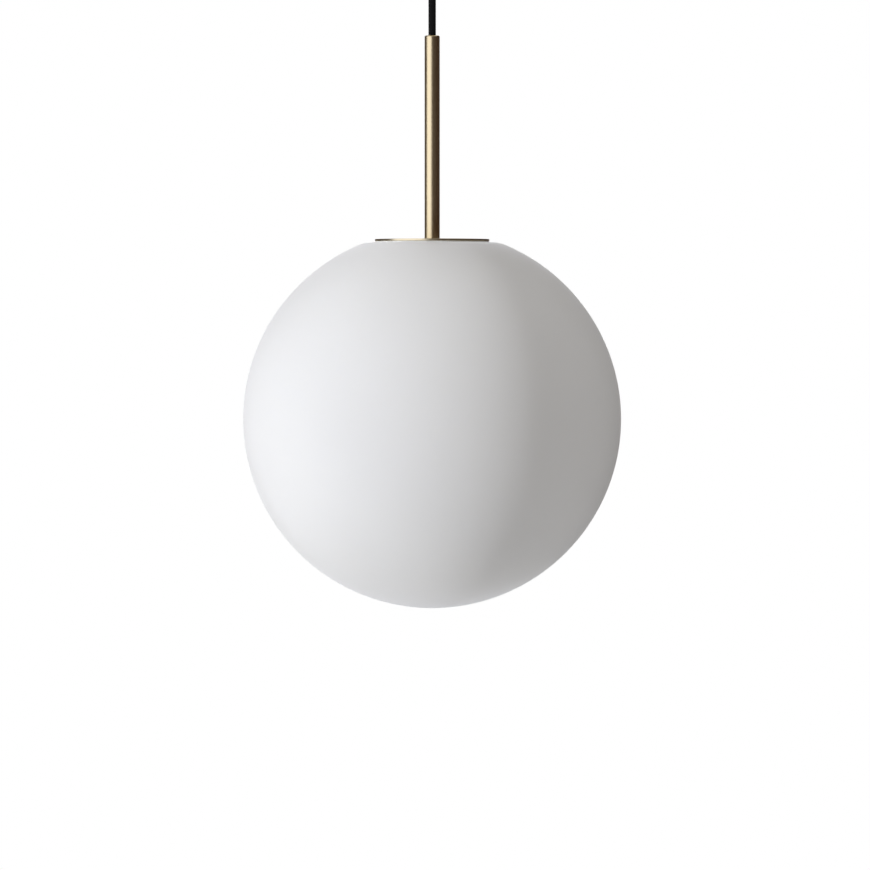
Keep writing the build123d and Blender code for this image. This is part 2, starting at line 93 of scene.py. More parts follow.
# --- Mesh helpers -------------------------------------------------------------------------------
NEARLY_STRAIGHT = math.radians(176)     # a flatter corner stays as it is
SIDE_SHARE = 0.48                       # of a side, the most that one corner's rounding takes


def arc(centre_r, centre_z, radius, start, end, count):
    """Points of an arc in the half plane of radius and height. Angles are in degrees from +r."""
    points = []
    for i in range(count + 1):
        angle = math.radians(start + (end - start) * i / count)
        points.append((centre_r + radius * math.cos(angle), centre_z + radius * math.sin(angle)))
    return points


def rounded(corners, radius, count=4):
    """The closed outline with its corners rounded. A corner may give its own radius as a third
    number."""
    outline = []
    total = len(corners)
    for i, corner in enumerate(corners):
        here = Vector(corner[:2])
        before = Vector(corners[i - 1][:2]) - here
        after = Vector(corners[(i + 1) % total][:2]) - here
        wish = corner[2] if len(corner) > 2 else radius
        angle = before.angle(after)
        if wish <= 0 or here.x < ON_AXIS or angle > NEARLY_STRAIGHT:
            outline.append(tuple(here))
            continue
        reach = min(wish / math.tan(angle / 2), before.length * SIDE_SHARE,
                    after.length * SIDE_SHARE)
        true_radius = reach * math.tan(angle / 2)
        middle = here + (before.normalized() + after.normalized()).normalized() * (
            true_radius / math.sin(angle / 2))
        first = here + before.normalized() * reach - middle
        last = here + after.normalized() * reach - middle
        turn = first.angle_signed(last)
        for k in range(count + 1):
            swung = first.copy()
            swung.rotate(Matrix.Rotation(-turn * k / count, 2))
            outline.append(tuple(middle + swung))
    return outline


def make_object(name, bm, sharp=40.0):
    """Finish a bmesh: smooth shading, with sharp edges where faces meet steeply."""
    bmesh.ops.recalc_face_normals(bm, faces=bm.faces)
    for edge in bm.edges:
        edge.smooth = edge.calc_face_angle(0.0) < math.radians(sharp)
    for face in bm.faces:
        face.smooth = True
    mesh = bpy.data.meshes.new(name)
    bm.to_mesh(mesh)
    bm.free()
    piece = bpy.data.objects.new(name, mesh)
    bpy.context.scene.collection.objects.link(piece)
    return piece


def lathe_into(bm, outline, segments=SEGMENTS, radius_at=None):
    """Turn a closed outline of (radius, height) points about the Z axis. radius_at may change each
    point's radius with its angle."""
    rings = []
    for r, z in outline:
        if r < ON_AXIS:
            rings.append([bm.verts.new((0, 0, z))])
            continue
        ring = []
        for k in range(segments):
            angle = 2 * math.pi * k / segments
            wide = radius_at(r, z, angle) if radius_at else r
            ring.append(bm.verts.new((wide * math.cos(angle), wide * math.sin(angle), z)))
        rings.append(ring)
    for i, ring in enumerate(rings):
        other = rings[(i + 1) % len(rings)]
        if len(ring) == 1 and len(other) == 1:
            continue
        for k in range(segments):
            n = (k + 1) % segments
            corners = [ring[k % len(ring)], ring[n % len(ring)],
                       other[n % len(other)], other[k % len(other)]]
            bm.faces.new(dict.fromkeys(corners))


def lathe(name, outline, segments=SEGMENTS, radius_at=None, sharp=40.0):
    bm = bmesh.new()
    lathe_into(bm, outline, segments, radius_at)
    return make_object(name, bm, sharp)


def tube_into(bm, centres, frames, half_wide, half_thick, sides=6):
    """A closed strand along its centres. frames gives the width and thickness directions."""
    rings = []
    for centre, (wide, thick) in zip(centres, frames):
        ring = []
        for k in range(sides):
            angle = 2 * math.pi * k / sides
            offset = wide * (half_wide * math.cos(angle)) + thick * (half_thick * math.sin(angle))
            ring.append(bm.verts.new(centre + offset))
        rings.append(ring)
    for ring, other in zip(rings, rings[1:]):
        for k in range(sides):
            n = (k + 1) % sides
            bm.faces.new((ring[k], ring[n], other[n], other[k]))
    bm.faces.new(rings[0])
    bm.faces.new(rings[-1])


# --- Cord ---------------------------------------------------------------------------------------
grip_low, grip_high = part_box("cord_grip_nut")
stem_low, stem_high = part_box("stem_tube")
CORD_DIAMETER = 3.8 * MM
SHEATH_END_Z = -20 * MM        # inside the canopy
CORD_TOP_Z = -38 * MM          # inside the cord grip
CORD_SPLIT_Z = -70 * MM        # where the two free stretches meet
CORD_END_Z = -133 * MM         # just inside the stem
CARRIERS = 12                  # yarns that wind each way
YARN_HALF_WIDE = 0.40 * MM
YARN_HALF_THICK = 0.17 * MM
YARN_WAVE = 0.08 * MM          # how far a yarn rises over and dips under the others
BRAID_TWIST = 390.0            # radians a metre
BRAID_STEP = 0.17 * MM
HIDDEN_BRAID_STEP = 0.27 * MM  # inside the stem
CORE_DEPTH = 0.6               # how deep the core lies under the yarns' mean radius, in waves
CORE_STEP = 0.5 * MM           # rows close enough to bend with the cord
CORE_SEGMENTS = 24


def route(top, bottom):
    """The cord's straight line as a NURBS spline, read back as points."""
    curve = bpy.data.curves.new("route", "CURVE")
    curve.dimensions = "3D"
    spline = curve.splines.new("NURBS")
    heights = (top, (top + bottom) / 2, bottom)
    spline.points.add(len(heights) - 1)
    for point, z in zip(spline.points, heights):
        point.co = (0, 0, z, 1)
    spline.order_u = 3
    spline.use_endpoint_u = True
    holder = bpy.data.objects.new("route", curve)
    bpy.context.scene.collection.objects.link(holder)
    bpy.context.view_layer.update()
    line = bpy.data.meshes.new_from_object(holder)
    points = [v.co.copy() for v in line.vertices]
    bpy.data.objects.remove(holder)
    bpy.data.meshes.remove(line)
    return points


def along(points, distance):
    """The point at a distance along the line."""
    for a, b in zip(points, points[1:]):
        step = (b - a).length
        if distance <= step or b is points[-1]:
            return a.lerp(b, distance / step)
        distance -= step


def braided_cord(name, points, step=BRAID_STEP):
    """Round textile cord: two sets of flat yarns wind opposite ways over and under each other."""
    bm = bmesh.new()
    length = sum((b - a).length for a, b in zip(points, points[1:]))
    steps = round(length / step)
    middle_r = CORD_DIAMETER / 2 - YARN_HALF_THICK + YARN_WAVE / 2
    core_r = middle_r - YARN_WAVE * CORE_DEPTH
    rows = round(length / CORE_STEP)
    core = [(core_r, along(points, length * i / rows).z) for i in range(rows + 1)]
    lathe_into(bm, core + [(0, points[-1].z), (0, points[0].z)], CORE_SEGMENTS)
    for way in (1, -1):
        for carrier in range(CARRIERS):
            centres = []
            frames = []
            for i in range(steps + 1):
                centre = along(points, length * i / steps)
                turn = BRAID_TWIST * centre.z
                angle = 2 * math.pi * carrier / CARRIERS + way * turn
                radius = middle_r + way * YARN_WAVE * math.cos(CARRIERS * turn)
                out = Vector((math.cos(angle), math.sin(angle), 0))
                round_way = Vector((-math.sin(angle), math.cos(angle), 0))
                heading = round_way * (way * BRAID_TWIST * radius) + Vector((0, 0, 1))
                centres.append(centre + out * radius)
                frames.append((heading.cross(out).normalized(), out))
            tube_into(bm, centres, frames, YARN_HALF_WIDE, YARN_HALF_THICK)
    return make_object(name, bm, sharp=180.0)


def build_cords():
    """The one cord in four pieces: in the canopy, two free stretches, and in the stem."""
    inside = braided_cord("canopy_cord_braid", route(SHEATH_END_Z, CORD_TOP_Z))
    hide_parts("canopy_cord")
    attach(inside, "ceiling_fitting")

    upper_path = route(CORD_TOP_Z, CORD_SPLIT_Z)
    upper = braided_cord("cord_upper_braid", upper_path)
    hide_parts("cord_upper")
    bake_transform(upper)

    lower_path = route(CORD_SPLIT_Z, CORD_END_Z)
    lower = braided_cord("cord_lower_braid", lower_path)
    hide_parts("cord_lower")
    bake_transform(lower)

    cord_low, cord_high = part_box("stem_cord")
    in_stem = braided_cord("stem_cord_braid", route(cord_high.z, cord_low.z),
                           HIDDEN_BRAID_STEP)
    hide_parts("stem_cord")
    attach(in_stem, "pendant_fitting")
    return [inside, upper, lower, in_stem]


cords = build_cords()


# --- Material helpers ---------------------------------------------------------------------------
class Look:
    """One procedural material, with short calls for the nodes it is made of."""

    def __init__(self, name, roughness, metallic=0.0, **plain):
        self.material = bpy.data.materials.new(name)
        self.material.use_nodes = True
        self.tree = self.material.node_tree
        self.shader = self.tree.nodes["Principled BSDF"]
        self.set("Roughness", roughness)
        self.set("Metallic", metallic)
        for socket, value in plain.items():
            self.set(socket.replace("_", " "), value)

    def set(self, socket, value):
        self.shader.inputs[socket].default_value = value

    def node(self, kind, **properties):
        made = self.tree.nodes.new(kind)
        for name, value in properties.items():
            setattr(made, name, value)
        return made

    def link(self, source, target):
        self.tree.links.new(source, target)

    def place(self):
        """Position on the piece at rest, in metres."""
        return self.node("ShaderNodeTexCoord").outputs["Object"]

    def stretched(self, scale):
        """Position, scaled by a different amount along each axis."""
        mapping = self.node("ShaderNodeMapping")
        mapping.inputs["Scale"].default_value = scale
        self.link(self.place(), mapping.inputs["Vector"])
        return mapping.outputs["Vector"]

    def about_axis(self, around, across, along_axis):
        """Position about the Z axis, for noise that is drawn out round it or along it: a point on a
        circle of radius around, raised by the distance from the axis and by the height."""
        split = self.node("ShaderNodeSeparateXYZ")
        self.link(self.place(), split.inputs[0])
        x, y, z = split.outputs
        distance = self.maths("SQRT", self.maths("ADD", self.maths("MULTIPLY", x, x),
                                                 self.maths("MULTIPLY", y, y)))
        circle = self.maths("DIVIDE", around, distance)
        joined = self.node("ShaderNodeCombineXYZ")
        self.link(self.maths("MULTIPLY", x, circle), joined.inputs["X"])
        self.link(self.maths("MULTIPLY", y, circle), joined.inputs["Y"])
        rise = self.maths("ADD", self.maths("MULTIPLY", distance, across),
                          self.maths("MULTIPLY", z, along_axis))
        self.link(rise, joined.inputs["Z"])
        return joined.outputs[0]

    def maths(self, operation, a, b=0.0):
        made = self.node("ShaderNodeMath", operation=operation)
        for socket, value in zip(made.inputs, (a, b)):
            if isinstance(value, (int, float)):
                socket.default_value = value
            else:
                self.link(value, socket)
        return made.outputs[0]

    def noise(self, vector, scale, detail=3.0, roughness=0.55):
        made = self.node("ShaderNodeTexNoise")
        made.inputs["Scale"].default_value = scale
        made.inputs["Detail"].default_value = detail
        made.inputs["Roughness"].default_value = roughness
        self.link(vector, made.inputs["Vector"])
        return made.outputs["Fac"]

    def spread(self, value, low, high, new_low=0.0, new_high=1.0):
        made = self.node("ShaderNodeMapRange")
        for socket, number in zip(("From Min", "From Max", "To Min", "To Max"),
                                  (low, high, new_low, new_high)):
            made.inputs[socket].default_value = number
        self.link(value, made.inputs["Value"])
        return made.outputs["Result"]

    def tint(self, factor, first, second):
        """Colour between two colours. The node has a set of sockets for each data type; these
        are the colour ones."""
        made = self.node("ShaderNodeMix", data_type="RGBA")
        made.inputs[6].default_value = (*first, 1.0)
        made.inputs[7].default_value = (*second, 1.0)
        self.link(factor, made.inputs["Factor"])
        return made.outputs[2]

    def colour(self, source):
        self.link(source, self.shader.inputs["Base Color"])
        return self

    def rough(self, source, low, high):
        self.link(self.spread(source, 0.3, 0.7, low, high), self.shader.inputs["Roughness"])
        return self

    def bump(self, source, distance, strength=1.0):
        made = self.node("ShaderNodeBump")
        made.inputs["Strength"].default_value = strength
        made.inputs["Distance"].default_value = distance
        self.link(source, made.inputs["Height"])
        self.link(made.outputs["Normal"], self.shader.inputs["Normal"])
        return self


# --- Materials ----------------------------------------------------------------------------------
TUBE_LIGHT = (0.85, 0.72, 0.465)
TUBE_DEEP = (0.75, 0.615, 0.365)
SHEET_LIGHT = (0.84, 0.745, 0.52)
SHEET_DEEP = (0.74, 0.63, 0.41)


def drawn_brass():
    """Satin brass tube, brushed along its length."""
    look = Look("brass_drawn", 0.3, 1.0)
    streaks = look.noise(look.about_axis(26.0, 0.0, 14.0), 1.0, 5.0, 0.62)
    hairs = look.noise(look.about_axis(150.0, 0.0, 60.0), 1.0, 2.0)
    both = look.maths("ADD", look.maths("MULTIPLY", streaks, 0.6),
                      look.maths("MULTIPLY", hairs, 0.4))
    look.colour(look.tint(look.spread(both, 0.35, 0.65), TUBE_DEEP, TUBE_LIGHT))
    look.rough(both, 0.28, 0.40)
    return look.bump(hairs, 4e-6, 0.4)


def turned_brass():
    """Satin brass sheet, brushed in circles on the lathe."""
    look = Look("brass_turned", 0.3, 1.0)
    rings = look.noise(look.about_axis(1.3, 6500.0, 6500.0), 1.0, 3.0)
    cloud = look.noise(look.place(), 60.0, 2.0)
    both = look.maths("ADD", look.maths("MULTIPLY", rings, 0.5), look.maths("MULTIPLY", cloud, 0.5))
    look.colour(look.tint(look.spread(both, 0.3, 0.7), SHEET_DEEP, SHEET_LIGHT))
    look.rough(rings, 0.25, 0.36)
    return look.bump(rings, 4e-6, 0.3)


def opal():
    """Opal glass with an acid-etched face: white, matt, and a little soft below its surface."""
    look = Look("opal_glass", 0.5, Subsurface_Weight=0.25, Subsurface_Scale=0.004, IOR=1.45)
    look.set("Subsurface Radius", (1.0, 0.98, 0.92))
    cloud = look.noise(look.place(), 14.0, 2.0)
    white = look.tint(look.spread(cloud, 0.3, 0.7), (0.858, 0.866, 0.872), (0.870, 0.878, 0.884))
    look.colour(white)
    grain = look.noise(look.place(), 5200.0, 2.0)
    look.rough(grain, 0.46, 0.56)
    return look.bump(grain, 2e-6, 0.25)


def textile():
    """Black braided textile, with faint lighter fibres."""
    look = Look("black_textile", 0.85, Sheen_Weight=0.04, Sheen_Roughness=0.5,
                Specular_IOR_Level=0.15)
    fibres = look.noise(look.stretched((1.0, 1.0, 0.35)), 9000.0, 3.0)
    black = look.tint(look.spread(fibres, 0.35, 0.75), (0.002, 0.002, 0.0021),
                      (0.007, 0.0067, 0.007))
    look.colour(black)
    look.rough(fibres, 0.75, 0.92)
    return look.bump(fibres, 3e-5, 0.6)


def plated(name, dark, light, low, high, metallic=1.0):
    """Plain metal parts: soft cloudy tone, fine scuffs and uneven polish."""
    look = Look(name, (low + high) / 2, metallic)
    cloud = look.noise(look.place(), 180.0, 4.0)
    scuffs = look.noise(look.stretched((1.0, 1.0, 0.12)), 3500.0, 3.0)
    look.colour(look.tint(look.spread(cloud, 0.3, 0.7), dark, light))
    look.rough(scuffs, low, high)
    return look.bump(scuffs, 4e-6, 0.5)


def moulded(name, dark, light, low, high, grain_scale=2600.0, **plain):
    """Moulded plastic, rubber or ceramic: faint cloud in the colour and a fine grain."""
    look = Look(name, (low + high) / 2, 0.0, **plain)
    cloud = look.noise(look.place(), 120.0, 3.0)
    grain = look.noise(look.place(), grain_scale, 3.0)
    look.colour(look.tint(look.spread(cloud, 0.3, 0.7), dark, light))
    look.rough(grain, low, high)
    return look.bump(grain, 1.2e-5, 0.5)


def striped_insulation():
    """Green insulation with a yellow stripe wound round it."""
    look = Look("insulation_green_yellow", 0.35)
    bands = look.node("ShaderNodeTexWave", wave_type="BANDS", bands_direction="DIAGONAL")
    bands.inputs["Scale"].default_value = 150.0
    bands.inputs["Distortion"].default_value = 0.3
    look.link(look.place(), bands.inputs["Vector"])
    stripe = look.spread(bands.outputs["Fac"], 0.55, 0.62)
    look.colour(look.tint(stripe, (0.03, 0.22, 0.05), (0.75, 0.62, 0.03)))
    grain = look.noise(look.place(), 2500.0)
    look.rough(grain, 0.3, 0.42)
    return look.bump(grain, 5e-6, 0.3)


def circuit_board():
    """Green solder mask over the shapes of the copper tracks."""
    look = Look("circuit_board", 0.35, 0.0, Coat_Weight=0.3)
    cells = look.node("ShaderNodeTexVoronoi", feature="F1", distance="MANHATTAN")
    cells.inputs["Scale"].default_value = 420.0
    look.link(look.place(), cells.inputs["Vector"])
    tracks = look.spread(cells.outputs["Distance"], 0.42, 0.46)
    look.colour(look.tint(tracks, (0.012, 0.11, 0.035), (0.03, 0.2, 0.07)))
    look.rough(look.noise(look.place(), 900.0), 0.3, 0.45)
    return look.bump(tracks, 3e-5, 0.5)


def board_white():
    """Aluminium LED board under white solder mask, with fine track outlines."""
    look = Look("led_board_white", 0.4, 0.0)
    cells = look.node("ShaderNodeTexVoronoi", feature="F1", distance="CHEBYCHEV")
    cells.inputs["Scale"].default_value = 190.0
    look.link(look.place(), cells.inputs["Vector"])
    tracks = look.spread(cells.outputs["Distance"], 0.48, 0.5)
    look.colour(look.tint(tracks, (0.82, 0.82, 0.80), (0.70, 0.70, 0.68)))
    look.rough(look.noise(look.place(), 900.0), 0.35, 0.5)
    return look.bump(tracks, 2e-5, 0.4)


LOOKS = {
    "satin_brass": turned_brass(),
    "drawn_brass": drawn_brass(),
    "opal_glass": opal(),
    "black_textile": textile(),
    "steel": plated("zinc_plated_steel", (0.50, 0.50, 0.50), (0.66, 0.66, 0.67), 0.28, 0.44),
    "plain_brass": plated("plain_brass", (0.62, 0.46, 0.22), (0.78, 0.62, 0.34), 0.2, 0.34),
    "tinned_copper": plated("tinned_copper", (0.60, 0.57, 0.52), (0.74, 0.72, 0.68), 0.3, 0.45),
    "nickel_plate": plated("nickel_plate", (0.60, 0.57, 0.52), (0.72, 0.69, 0.64), 0.12, 0.24),
    "bronze_spring": plated("bronze_spring", (0.52, 0.34, 0.18), (0.68, 0.48, 0.28), 0.22, 0.36),
    "solder": plated("solder", (0.52, 0.52, 0.52), (0.68, 0.68, 0.68), 0.3, 0.5),
    "aluminium": plated("aluminium", (0.66, 0.67, 0.68), (0.80, 0.81, 0.82), 0.3, 0.46),
    "brown_insulation": moulded("insulation_brown", (0.10, 0.035, 0.015), (0.14, 0.05, 0.02),
                                0.3, 0.42),
    "blue_insulation": moulded("insulation_blue", (0.015, 0.07, 0.30), (0.02, 0.09, 0.38),
                               0.3, 0.42),
    "white_insulation": moulded("insulation_white", (0.78, 0.78, 0.76), (0.84, 0.84, 0.82),
                                0.3, 0.42),
    "green_yellow_insulation": striped_insulation(),
    "nylon": moulded("nylon", (0.72, 0.70, 0.63), (0.80, 0.78, 0.72), 0.38, 0.5,
                     Subsurface_Weight=0.1, Subsurface_Scale=0.001),
    "black_plastic": moulded("black_thermoset", (0.012, 0.012, 0.013), (0.024, 0.023, 0.023),
                             0.3, 0.42),
    "white_plastic": moulded("white_plastic", (0.80, 0.80, 0.79), (0.84, 0.84, 0.83),
                             0.36, 0.48),
    "white_porcelain": moulded("porcelain", (0.78, 0.77, 0.73), (0.85, 0.84, 0.81), 0.1, 0.2,
                               600.0, Coat_Weight=0.5),
    "silicone": moulded("silicone", (0.62, 0.62, 0.60), (0.70, 0.70, 0.68), 0.45, 0.6),
    "circuit_board": circuit_board(),
    "board_white": board_white(),
    "component_black": moulded("component_black", (0.02, 0.02, 0.022), (0.04, 0.04, 0.043),
                               0.35, 0.5),
    "led_phosphor": moulded("led_phosphor", (0.70, 0.52, 0.08), (0.82, 0.64, 0.14), 0.3, 0.4,
                            Coat_Weight=0.6),
}


def dress(piece, look):
    """Give a piece its material."""
    piece.data.materials.clear()
    piece.data.materials.append(LOOKS[look].material)


for cord_piece in cords:
    dress(cord_piece, "black_textile")


# --- Globe --------------------------------------------------------------------------------------
GLASS_WALL = 2.5 * MM
SHOULDER_R = 20.0 * MM
mouth_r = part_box("glass_bond_ring")[1].x


def globe_side(radius, top_z):
    """Outline of one skin of the globe, from its flat top over the rounded shoulder to the pole."""
    inner_r = radius - SHOULDER_R
    centre_z = top_z - SHOULDER_R
    centre_r = math.sqrt(inner_r ** 2 - (centre_z - globe_z) ** 2)
    meet = math.degrees(math.atan2(centre_z - globe_z, centre_r))
    outline = [(mouth_r, top_z)]
    outline += arc(centre_r, centre_z, SHOULDER_R, 90, meet, 16)
    outline += arc(0, globe_z, radius, meet, -90, 120)[1:-1]
    outline.append((0, globe_z - radius))
    return outline


def build_globe():
    outer = globe_side(globe_r, globe_high.z)
    inner = globe_side(globe_r - GLASS_WALL, globe_high.z - GLASS_WALL)
    globe = lathe("globe_opal", outer + inner[::-1], segments=256)
    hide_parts("globe_glass")
    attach(globe, "globe_lamp")
    dress(globe, "opal_glass")


build_globe()


# --- Stem and disc ------------------------------------------------------------------------------
STEM_LIP_R = 2.1 * MM          # the hole that the cord goes through
STEM_LIP_ROUND = 0.4 * MM
STEM_TOP_ROUND = 1.3 * MM
DISC_EDGE_T = 1.1 * MM         # the disc thins out to this at its edge
DISC_EDGE_ROUND = 0.15 * MM
DISC_FLAT_R = 15.0 * MM        # its top is flat out to here
bush_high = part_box("stem_top_bush")[1]     # the bush fills the tube's bore, up to its lip


def build_stem():
    """Tube with a rounded top end that closes in around the cord."""
    outline = rounded([(bush_high.x, bush_high.z), (STEM_LIP_R, bush_high.z),
                       (STEM_LIP_R, stem_high.z, STEM_LIP_ROUND),
                       (stem_high.x, stem_high.z, STEM_TOP_ROUND),
                       (stem_high.x, stem_low.z), (bush_high.x, stem_low.z)], 0.0, 10)
    stem = lathe("stem_brass", outline, segments=128)
    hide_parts("stem_tube")
    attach(stem, "pendant_fitting")
    dress(stem, "drawn_brass")


def build_disc():
    """Spun disc: flat in the middle, with a top that curves gently down to its rounded edge."""
    low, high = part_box("top_disc")
    drop = high.z - low.z - DISC_EDGE_T
    reach = high.x - DISC_FLAT_R
    dome_r = (reach ** 2 + drop ** 2) / (2 * drop)
    dome_end = 90 - math.degrees(math.asin(reach / dome_r))
    dome = arc(DISC_FLAT_R, high.z - dome_r, dome_r, 90, dome_end, 16)
    corner = (*dome[-1], DISC_EDGE_ROUND)
    outline = rounded([*dome[:-1], corner, (high.x, low.z, DISC_EDGE_ROUND),
                       (bush_high.x, low.z), (bush_high.x, high.z)], 0.0, 8)
    disc = lathe("top_disc_brass", outline, segments=256)
    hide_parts("top_disc")
    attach(disc, "pendant_fitting")
    dress(disc, "satin_brass")


build_stem()
build_disc()


# --- Cord grip nut ------------------------------------------------------------------------------
KNURLS = 48
KNURL_DEPTH = 0.16 * MM
NUT_BORE_R = 2.5 * MM
NUT_SEAT_R = 4.05 * MM         # the wider bore that the gland goes into
NUT_SEAT_DEPTH = 6.5 * MM
BAND_DROP = 1.4 * MM           # the knurled band starts this far below the nut's top
BAND_LIFT = 2.4 * MM           # and ends this far above its lower end
NUT_GROOVE = 0.35 * MM         # beside the band, at both its ends
NUT_TOP_ROUND = 0.3 * MM
NUT_END_ROUND = 1.5 * MM
NUT_BORE_ROUND = 0.5 * MM


def build_grip_nut():
    """Round nut under the canopy, with a straight knurl round its middle."""
    seat_z = grip_high.z - NUT_SEAT_DEPTH
    grip_r = grip_high.x
    groove_r = grip_r - NUT_GROOVE
    band_top = grip_high.z - BAND_DROP
    band_bottom = grip_low.z + BAND_LIFT
    outline = rounded([(NUT_BORE_R, grip_low.z, NUT_BORE_ROUND), (NUT_BORE_R, seat_z),
                       (NUT_SEAT_R, seat_z), (NUT_SEAT_R, grip_high.z),
                       (grip_r, grip_high.z, NUT_TOP_ROUND), (grip_r, band_top + NUT_GROOVE),
                       (groove_r, band_top + NUT_GROOVE / 2), (grip_r - HAIR, band_top),
                       (grip_r - HAIR, band_bottom), (groove_r, band_bottom - NUT_GROOVE / 2),
                       (grip_r, band_bottom - NUT_GROOVE), (grip_r, grip_low.z, NUT_END_ROUND)],
                      0.0, 6)

    def knurled(r, z, angle):
        on_band = r > grip_r - NUT_GROOVE / 2 and band_bottom - HAIR <= z <= band_top + HAIR
        return r - KNURL_DEPTH * (0.5 + 0.5 * math.cos(KNURLS * angle)) if on_band else r

    nut = lathe("cord_grip_nut_knurled", outline, KNURLS * 8, knurled, sharp=35.0)
    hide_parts("cord_grip_nut")
    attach(nut, "ceiling_fitting")
    dress(nut, "satin_brass")


build_grip_nut()


# --- Lampholder and screw cap -------------------------------------------------------------------
THREAD_PITCH = 3.629 * MM
THREAD_SWING = 0.46 * MM       # half the depth of the rolled thread
SHEET_WALL = 0.3 * MM
CAP_MEAN_R = 12.58 * MM
SOCKET_MEAN_R = 12.98 * MM
THREAD_FADE = 1.8 * MM         # over which the thread runs out at each end
THREAD_ROWS = 16               # in one turn of the thread
CAP_PLAIN = 2.0 * MM           # plain sheet under the cap's thread
CAP_SHOULDER = 0.4 * MM        # the cap's thread starts this far below its top
FLANGE_DEPTH = 0.7 * MM        # the socket's thread starts this far below its flange
SOCKET_PLAIN = 0.3 * MM


def ease(value):
    """A soft step from 0 to 1."""
    value = min(max(value, 0.0), 1.0)
    return value * value * (3 - 2 * value)


def thread_wave(z, angle, top, bottom):
    """Height of the rolled thread, -1 to 1, which fades out at both ends."""
    inside = ease((top - z) / THREAD_FADE) * ease((z - bottom) / THREAD_FADE)
    return inside * math.cos(2 * math.pi * z / THREAD_PITCH - angle)


def threaded_shell(name, mean_r, inner_first, top, bottom, ends):
    """Thin rolled sheet with a thread in both its faces. ends adds plain points above and below."""
    steps = round((top - bottom) / (THREAD_PITCH / THREAD_ROWS))
    face_r = (mean_r, mean_r + SHEET_WALL) if inner_first else (mean_r - SHEET_WALL, mean_r)
    heights = [top - (top - bottom) * i / steps for i in range(steps + 1)]
    outline = [(face_r[0], z) for z in heights]
    outline += [(r, bottom - dz) for r, dz in ends["bottom"]]
    outline += [(face_r[1], z) for z in reversed(heights)]
    outline += [(r, top + dz) for r, dz in ends["top"]]

    def rolled(r, z, angle):
        on_sheet = abs(r - mean_r) < SHEET_WALL + HAIR and bottom <= z <= top
        return r + THREAD_SWING * thread_wave(z, angle, top, bottom) if on_sheet else r

    return lathe(name, outline, 96, rolled, sharp=60.0)


def build_threads():
    """The lamp's screw cap, and the lampholder's shell round it."""
    cap_low, cap_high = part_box("lamp_cap_shell")
    plain = {"bottom": [(CAP_MEAN_R - SHEET_WALL, CAP_PLAIN), (CAP_MEAN_R, CAP_PLAIN)],
             "top": [(CAP_MEAN_R - 0.6 * MM, 0.0), (CAP_MEAN_R - 0.8 * MM, -0.05 * MM)]}
    cap = threaded_shell("lamp_cap_threaded", CAP_MEAN_R, False, cap_high.z - CAP_SHOULDER,
                         cap_low.z + CAP_PLAIN, plain)
    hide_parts("lamp_cap_shell")
    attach(cap, "globe_lamp")
    dress(cap, "nickel_plate")

    shell_low, shell_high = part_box("socket_shell")
    flange_r = shell_high.x
    outer_r = SOCKET_MEAN_R + SHEET_WALL
    under_flange = FLANGE_DEPTH - SHEET_WALL
    rim = {"bottom": [(SOCKET_MEAN_R, SOCKET_PLAIN), (outer_r, SOCKET_PLAIN)],
           "top": [(outer_r + 0.2 * MM, under_flange), (flange_r, under_flange),
                   (flange_r, FLANGE_DEPTH), (SOCKET_MEAN_R + 0.1 * MM, FLANGE_DEPTH)]}
    socket = threaded_shell("socket_threaded", SOCKET_MEAN_R, True, shell_high.z - FLANGE_DEPTH,
                            shell_low.z + SOCKET_PLAIN, rim)
    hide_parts("socket_shell")
    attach(socket, "pendant_fitting")
    dress(socket, "nickel_plate")


RIBS = 40
RIB_DEPTH = 0.3 * MM
RIB_FADE = 2.0 * MM            # over which a rib runs out at each end
RIB_DROP = 3.0 * MM            # the ribs start this far below the lampholder's cap
RIB_LIFT = 4.0 * MM            # and end this far above the body's lower end
RIB_ROWS = 16
BODY_BORE_R = 16.2 * MM        # round the porcelain insert
BODY_SPIGOT_R = 17.25 * MM     # the part that goes up into the cap
BODY_MOUTH_R = 13.9 * MM       # the lower opening
BODY_SHELL_R = 14.2 * MM       # round the socket shell
BODY_MOUTH_DEPTH = 1.8 * MM
INSERT_GAP = 0.35 * MM         # between the insert and the shoulder under it


def build_holder_body():
    """Moulded lower half of the lampholder, with grip ribs round its outside."""
    low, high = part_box("lampholder_body")
    cap_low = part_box("lampholder_cap")[0]
    insert_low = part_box("lampholder_insert")[0]
    body_r = high.x
    shoulder_z = insert_low.z - INSERT_GAP
    mouth_z = low.z + BODY_MOUTH_DEPTH
    rib_top = cap_low.z - RIB_DROP
    rib_bottom = low.z + RIB_LIFT
    rib_length = rib_top - rib_bottom
    side = [(body_r, rib_top - rib_length * i / RIB_ROWS) for i in range(RIB_ROWS + 1)]
    outline = rounded([(BODY_BORE_R, high.z, 0.2 * MM), (BODY_SPIGOT_R, high.z, 0.3 * MM),
                       (BODY_SPIGOT_R, cap_low.z), (body_r, cap_low.z, 0.35 * MM), *side,
                       (body_r, low.z, 1.2 * MM), (BODY_MOUTH_R, low.z, 0.5 * MM),
                       (BODY_MOUTH_R, mouth_z), (BODY_SHELL_R, mouth_z),
                       (BODY_SHELL_R, shoulder_z), (BODY_BORE_R, shoulder_z)], 0.0, 6)

    def ribbed(r, z, angle):
        if r < body_r - HAIR or not rib_bottom <= z <= rib_top:
            return r
        runout = ease((rib_top - z) / RIB_FADE) * ease((z - rib_bottom) / RIB_FADE)
        wave = 0.5 - 0.5 * math.cos(RIBS * angle)
        return r - RIB_DEPTH * runout * wave ** 2

    body = lathe("lampholder_body_ribbed", outline, RIBS * 8, ribbed, sharp=35.0)
    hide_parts("lampholder_body")
    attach(body, "pendant_fitting")
    dress(body, "black_plastic")


build_threads()
build_holder_body()


